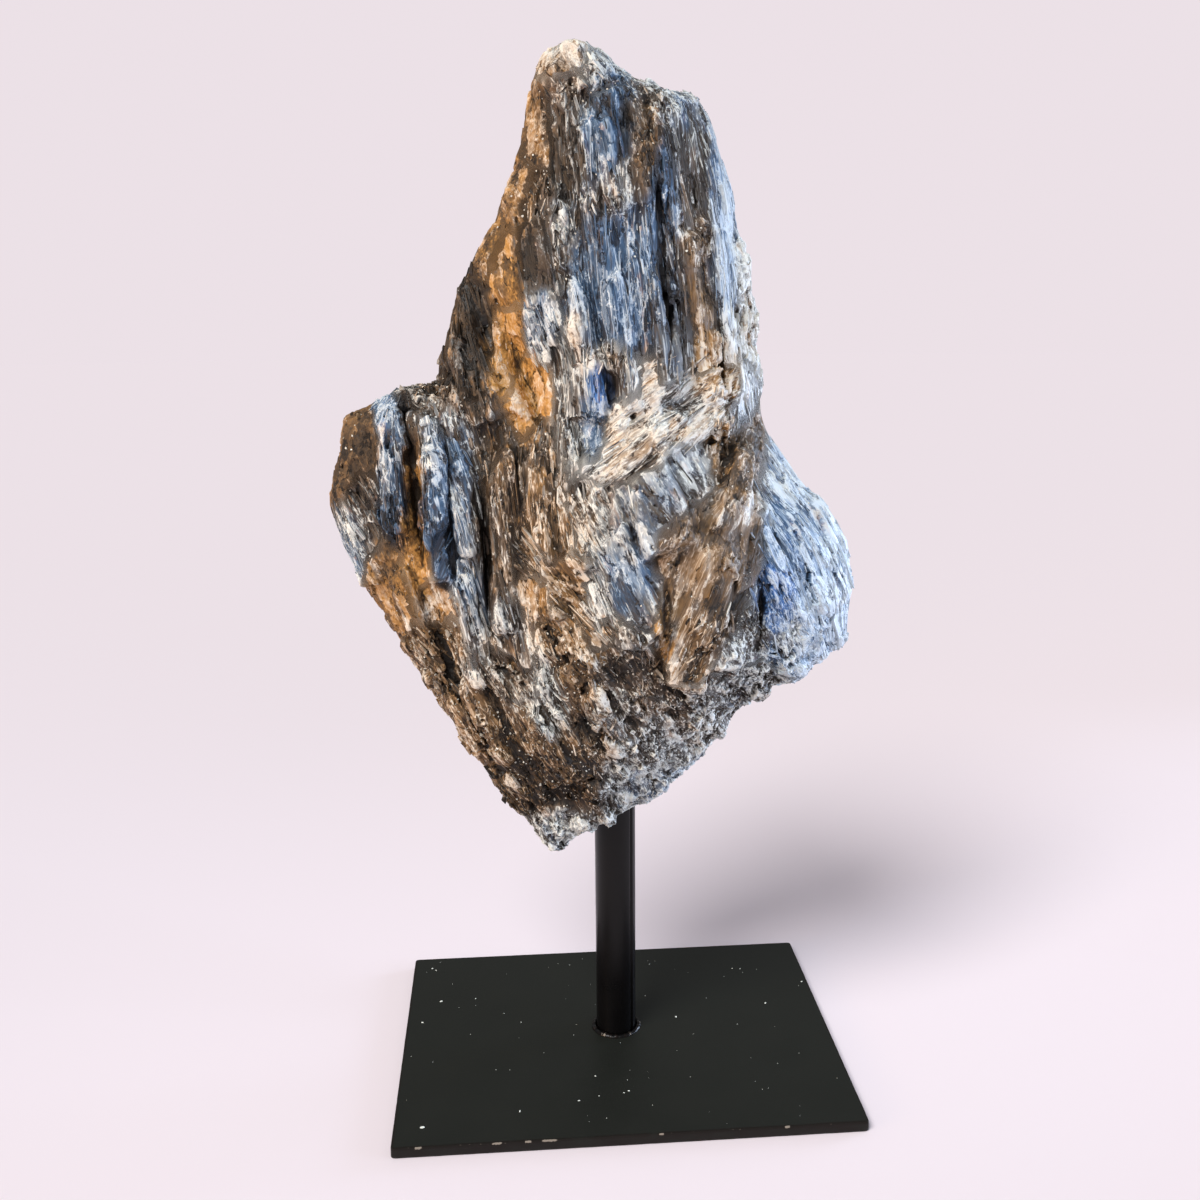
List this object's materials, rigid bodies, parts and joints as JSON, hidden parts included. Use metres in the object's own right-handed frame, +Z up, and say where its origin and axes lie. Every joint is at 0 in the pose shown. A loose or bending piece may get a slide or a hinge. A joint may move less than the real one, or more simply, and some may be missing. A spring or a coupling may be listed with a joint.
{
  "type": "kyanite specimen on a stand",
  "caption": "Bladed blue-grey kyanite stone with an ochre and mica matrix, held upright on a slim black metal post over a flat rectangular black base plate.",
  "frame": {"origin": "middle of the base plate's underside", "axes": "+Z up along the post, +X to the right seen from the front, -Y towards the viewer in front of the stone's display face"},
  "size_m": [0.1143, 0.0762, 0.222],
  "materials": {
    "kyanite": "natural bladed crystal, pearly on its cleavage faces, granular brown and ochre between the blades",
    "post_paint": "satin black paint on rolled steel tube",
    "plate_paint": "satin black paint on sheared steel plate, scuffed at the edges"
  },
  "bodies": {
    "root": {"kyanite": "kyanite", "post": "post_paint", "stand_plate": "plate_paint", "weld_bead": "plate_paint"}
  },
  "joints": []
}
